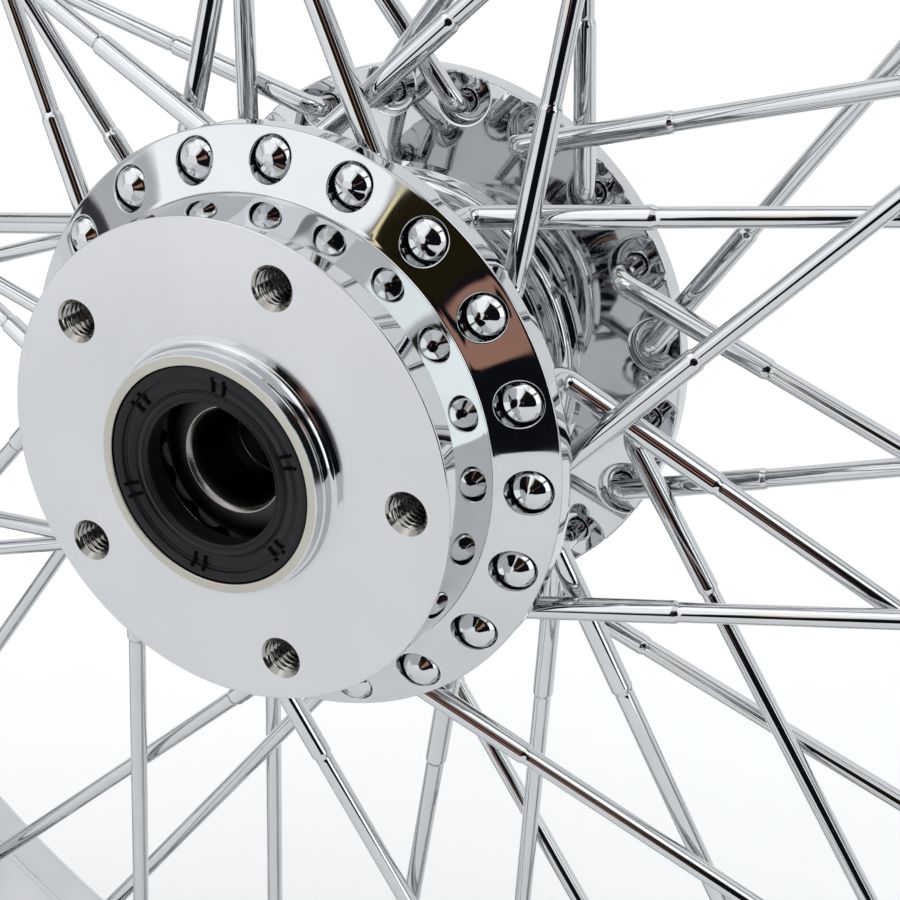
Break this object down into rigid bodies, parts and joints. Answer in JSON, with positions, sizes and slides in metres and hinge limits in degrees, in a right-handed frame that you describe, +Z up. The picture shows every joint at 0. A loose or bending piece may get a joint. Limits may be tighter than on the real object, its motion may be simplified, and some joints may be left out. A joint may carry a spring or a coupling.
{
  "type": "spoked motorcycle wheel",
  "caption": "Chrome wire-spoked motorcycle wheel with a drop-centre rim, crossed spokes and a flanged hub on sealed tapered roller bearings.",
  "frame": {"origin": "centre of the hub, on the spin axis, midway between the two brake disc faces", "axes": "+Y along the spin axis, from the near side to the far side; +Z up; +X completes the right-handed frame"},
  "size_m": [0.5106, 0.1212, 0.5106],
  "materials": {
    "rim_chrome": "polished chrome plate on steel",
    "hub_chrome": "polished chrome plate, with satin machined faces",
    "spoke_chrome": "chrome-plated steel wire",
    "seal_rubber": "black rubber, satin",
    "bearing_steel": "ground bearing steel",
    "roller_steel": "polished bearing steel",
    "sleeve_steel": "plain turned steel"
  },
  "bodies": {
    "axle_core": {"bearing_cone_near": "bearing_steel", "bearing_cone_far": "bearing_steel", "spacer_sleeve": "sleeve_steel"},
    "wheel": {"rim": "rim_chrome", "hub": "hub_chrome", "spoke_01": "spoke_chrome", "spoke_02": "spoke_chrome", "spoke_03": "spoke_chrome", "spoke_04": "spoke_chrome", "spoke_05": "spoke_chrome", "spoke_06": "spoke_chrome", "spoke_07": "spoke_chrome", "spoke_08": "spoke_chrome", "spoke_09": "spoke_chrome", "spoke_10": "spoke_chrome", "spoke_11": "spoke_chrome", "spoke_12": "spoke_chrome", "spoke_13": "spoke_chrome", "spoke_14": "spoke_chrome", "spoke_15": "spoke_chrome", "spoke_16": "spoke_chrome", "spoke_17": "spoke_chrome", "spoke_18": "spoke_chrome", "spoke_19": "spoke_chrome", "spoke_20": "spoke_chrome", "spoke_21": "spoke_chrome", "spoke_22": "spoke_chrome", "spoke_23": "spoke_chrome", "spoke_24": "spoke_chrome", "spoke_25": "spoke_chrome", "spoke_26": "spoke_chrome", "spoke_27": "spoke_chrome", "spoke_28": "spoke_chrome", "spoke_29": "spoke_chrome", "spoke_30": "spoke_chrome", "spoke_31": "spoke_chrome", "spoke_32": "spoke_chrome", "spoke_33": "spoke_chrome", "spoke_34": "spoke_chrome", "spoke_35": "spoke_chrome", "spoke_36": "spoke_chrome", "spoke_37": "spoke_chrome", "spoke_38": "spoke_chrome", "spoke_39": "spoke_chrome", "spoke_40": "spoke_chrome", "bearing_cup_near": "bearing_steel", "bearing_cup_far": "bearing_steel", "seal_near": "seal_rubber", "seal_far": "seal_rubber"},
    "roller_set_near": {"rollers_near": "roller_steel"},
    "roller_set_far": {"rollers_far": "roller_steel"}
  },
  "joints": [
    {"name": "wheel_spin", "type": "hinge", "parent": "axle_core", "child": "wheel", "pos_m": [0, 0, 0], "axis": [0, 1, 0], "continuous": true},
    {"name": "rollers_near_spin", "type": "hinge", "parent": "axle_core", "child": "roller_set_near", "pos_m": [0, 0, 0], "axis": [0, 1, 0], "continuous": true},
    {"name": "rollers_far_spin", "type": "hinge", "parent": "axle_core", "child": "roller_set_far", "pos_m": [0, 0, 0], "axis": [0, 1, 0], "continuous": true}
  ],
  "couplings": [
    {"joint": "rollers_near_spin", "follows": "wheel_spin", "ratio": 0.592},
    {"joint": "rollers_far_spin", "follows": "wheel_spin", "ratio": 0.592}
  ]
}
